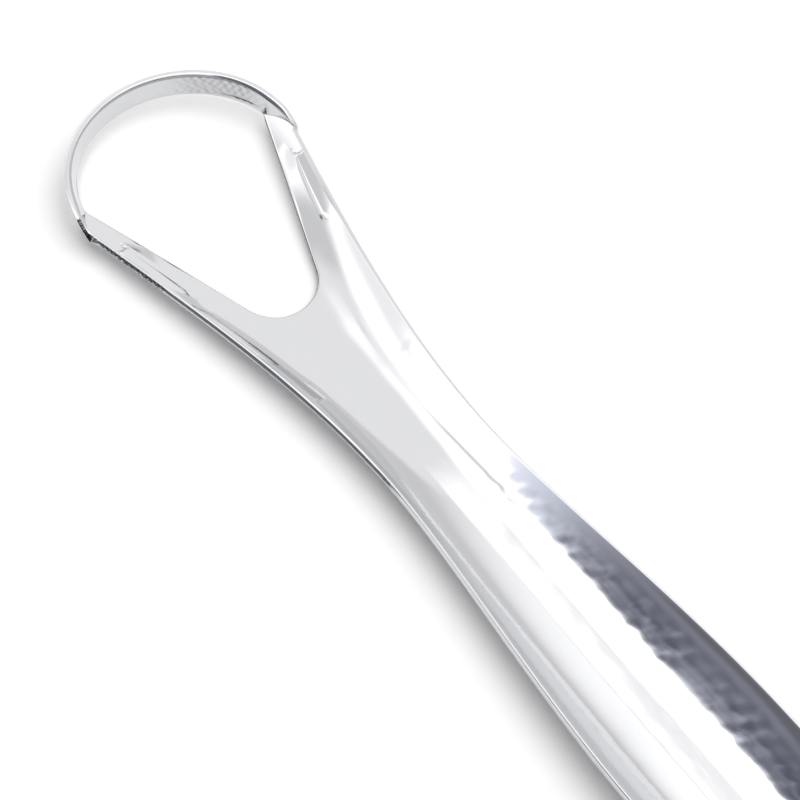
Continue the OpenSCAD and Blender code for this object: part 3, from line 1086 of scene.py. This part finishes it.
def grey_veil():
    """A screen close above the object: darker beyond a slanted line, and brighter toward the grip."""
    material, nodes, links = node_material("grey_veil")
    tree = material.node_tree
    _, x, y, _ = place_of(tree)
    slant = ramp(tree, plus(tree, x, times(tree, y, VEIL_SLANT)), *VEIL_EDGE)
    level = blend(tree, VEIL_LEFT, ramp(tree, x, *VEIL_X, *VEIL_LIGHT), slant)
    off_x = maths(tree, "DIVIDE", minus(tree, x, BLOT_AT[0]), BLOT_SIZE[0])
    off_y = maths(tree, "DIVIDE", minus(tree, y, BLOT_AT[1]), BLOT_SIZE[1])
    off = plus(tree, times(tree, off_x, off_x), times(tree, off_y, off_y))
    level = blend(tree, level, BLOT_LEVEL, ramp(tree, off, *BLOT_EDGE, 1, 0))
    thread = times(tree, line_over(tree, y, THREAD_Y, THREAD), ramp(tree, x, *THREAD_X))
    level = blend(tree, level, THREAD_LEVEL, thread)
    lamp = nodes.new("ShaderNodeEmission")
    links.new(level, lamp.inputs["Strength"])
    over_arms = times(tree, ramp(tree, x, *ARMS_X, 1, 0), ramp(tree, x, *ARMS_END))
    over_arms = times(tree, over_arms, ramp(tree, y, *ARMS_Y))
    beyond = ramp(tree, minus(tree, y, times(tree, x, NECK_SLOPE)), *NECK_EDGE)
    over_neck = times(tree, beyond, ramp(tree, x, *NECK_X))
    share = most(tree, most(tree, ramp(tree, y, *VEIL_Y), over_arms), over_neck)
    half_clear(material, most(tree, share, thread), lamp)
    return material


def skirt(name, level, top):
    """A side of the room, dimmer than plain white, which fades toward its top."""
    material, nodes, _ = node_material(name)
    tree = material.node_tree
    z = place_of(tree)[3]
    lamp = nodes.new("ShaderNodeEmission")
    lamp.inputs["Strength"].default_value = level
    half_clear(material, ramp(tree, z, SKIRT_FULL * top, top, 1, 0), lamp)
    return material


def dark_flag():
    """The dark card on the near side, with soft edges, which the grip's far wall reflects."""
    material, nodes, links = node_material("dark_flag")
    tree = material.node_tree
    point, x, _, z = place_of(tree)
    along_card = plus(tree, x, times(tree, z, FLAG_LEAN))
    low = ramp(tree, z, *STRIP_Z, 1, 0)
    streak = nodes.new("ShaderNodeMapping")
    streak.inputs["Scale"].default_value = CLOUD_STRETCH
    links.new(point, streak.inputs["Vector"])
    cloud = nodes.new("ShaderNodeTexNoise")
    cloud.inputs["Scale"].default_value = CLOUD_SCALE
    links.new(streak.outputs[0], cloud.inputs["Vector"])
    patchy = ramp(tree, cloud.outputs["Fac"], *CLOUD_RANGE, 1, CLOUD_LEVEL)
    depth = times(tree, ramp(tree, along_card, *FLAG_FADE), ramp(tree, z, *FLAG_HIGH))
    depth = times(tree, depth, patchy)
    colour = tint(tree, tint(tree, FLAG_PALE, FLAG_DARK, depth), STRIP_COLOUR, low)
    lamp = nodes.new("ShaderNodeEmission")
    links.new(colour, lamp.inputs["Color"])
    share = times(tree, ramp(tree, along_card, *FLAG_SIDE), ramp(tree, z, *FLAG_TOP, 1, 0))
    half_clear(material, times(tree, most(tree, share, low), ramp(tree, x, *FLAG_END, 1, 0)), lamp)
    return material


def white_floor():
    """Pale paper, seen as plain white, that keeps the soft shadow of the object."""
    material, nodes, links = node_material("floor")
    tree = material.node_tree
    out = nodes.new("ShaderNodeOutputMaterial")
    paper = nodes.new("ShaderNodeBsdfDiffuse")
    links.new(tint(tree, FLOOR_COLOUR, FLOOR_SEEN, seen_directly(tree)), paper.inputs["Color"])
    links.new(paper.outputs[0], out.inputs["Surface"])
    return material


# Cards in millimetres: opposite corners of the level ones, foot lines of the upright ones, and heights
FLOOR_CORNERS = ((-3000, -3000), (3000, 3000))
SKY_CORNERS = ((-1600, -1700), (400, 2200))
SKY_Z = 700
VEIL_CORNERS = ((-400, -60), (60, 350))
VEIL_Z = 100
FLAG_FEET = ((-260, -300), (600, -300))
FLAG_Z = 920
ROOM_CORNERS = ((-1200, -1200), (1200, -1200), (1200, 1200), (-1200, 1200))
SKIRT_Z = 440
CARD_FOOT = 0.5

# Camera, in metres: its place, its directions and its lens, fitted to the object's outline in the photograph
CAMERA_AT = (0.15336, -0.12664, 0.31467)
CAMERA_RIGHT = (0.5912, 0.8064, 0.0139)
CAMERA_UP = (-0.6727, 0.4836, 0.5600)
CAMERA_BACK = (0.4449, -0.3404, 0.8284)
LENS = 135
SENSOR_W = 36
CLIP_START = 0.01


def card(name, corners, material):
    """A flat piece of the studio, which only reflections see at first. corners in millimetres."""
    mesh = bpy.data.meshes.new(name)
    mesh.from_pydata([tuple(c * MM for c in p) for p in corners], [], [(0, 1, 2, 3)])
    plate = bpy.data.objects.new(name, mesh)
    bpy.context.scene.collection.objects.link(plate)
    mesh.materials.append(material)
    plate.visible_camera = False
    plate.visible_diffuse = False
    plate.visible_shadow = False
    return plate


def level_card(name, corners, z, material, down=False):
    """A level card between two opposite corners, which faces up or down."""
    (ax, ay), (bx, by) = corners
    second, fourth = ((ax, by), (bx, ay)) if down else ((bx, ay), (ax, by))
    return card(name, [(ax, ay, z), (*second, z), (bx, by, z), (*fourth, z)], material)


def upright_card(name, feet, top, material):
    """An upright card over the line between two points just above the floor."""
    (ax, ay), (bx, by) = feet
    corners = [(ax, ay, CARD_FOOT), (bx, by, CARD_FOOT), (bx, by, top), (ax, ay, top)]
    return card(name, corners, material)


def set_up_studio():
    """The floor, which everything sees, and the cards that the steel reflects."""
    floor = level_card("floor", FLOOR_CORNERS, 0, white_floor())
    floor.visible_camera = floor.visible_diffuse = floor.visible_shadow = True
    level_card("sky", SKY_CORNERS, SKY_Z, sky_light(), down=True)
    level_card("veil", VEIL_CORNERS, VEIL_Z, grey_veil())
    upright_card("flag", FLAG_FEET, FLAG_Z, dark_flag())
    next_corners = ROOM_CORNERS[1:] + ROOM_CORNERS[:1]
    for corner, next_corner, (name, level, top) in zip(ROOM_CORNERS, next_corners, SKIRTS):
        upright_card(name, (corner, next_corner), SKIRT_Z, skirt(name, level, top))


def set_up_lamp():
    """A wide soft sun, whose level is what it gives a level white card. Reflections don't see it."""
    lamp = bpy.data.objects.new("lamp", bpy.data.lights.new("lamp", "SUN"))
    bpy.context.scene.collection.objects.link(lamp)
    lamp.data.energy = LAMP_LEVEL * math.pi / LAMP_FROM[2] * Vector(LAMP_FROM).length
    lamp.data.angle = math.radians(LAMP_SPREAD)
    lamp.rotation_euler = Vector(LAMP_FROM).to_track_quat("Z", "Y").to_euler()
    lamp.visible_glossy = False


def set_up_world():
    """Even light from all round, which the camera and reflections see as plain white."""
    world = bpy.data.worlds.new("studio")
    bpy.context.scene.world = world
    world.use_nodes = True
    tree = world.node_tree
    background = tree.nodes["Background"]
    background.inputs["Color"].default_value = (1, 1, 1, 1)
    tree.links.new(blend(tree, WORLD_LEVEL, 1.0, seen_directly(tree)), background.inputs["Strength"])


def set_up_camera():
    camera = bpy.data.objects.new("camera", bpy.data.cameras.new("camera"))
    bpy.context.scene.collection.objects.link(camera)
    camera.data.lens = LENS
    camera.data.sensor_width = SENSOR_W
    camera.data.clip_start = CLIP_START
    axes = Matrix((CAMERA_RIGHT, CAMERA_UP, CAMERA_BACK)).transposed()
    camera.matrix_world = Matrix.Translation(CAMERA_AT) @ axes.to_4x4()
    bpy.context.scene.camera = camera


steel = polished_steel()
for piece, node in ((build_handle(steel), "handle"), (build_band(steel), "scraper_band")):
    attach(piece, "root")
    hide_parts(node)

set_up_studio()
set_up_lamp()
set_up_world()
set_up_camera()
bpy.context.scene.view_settings.view_transform = "Standard"
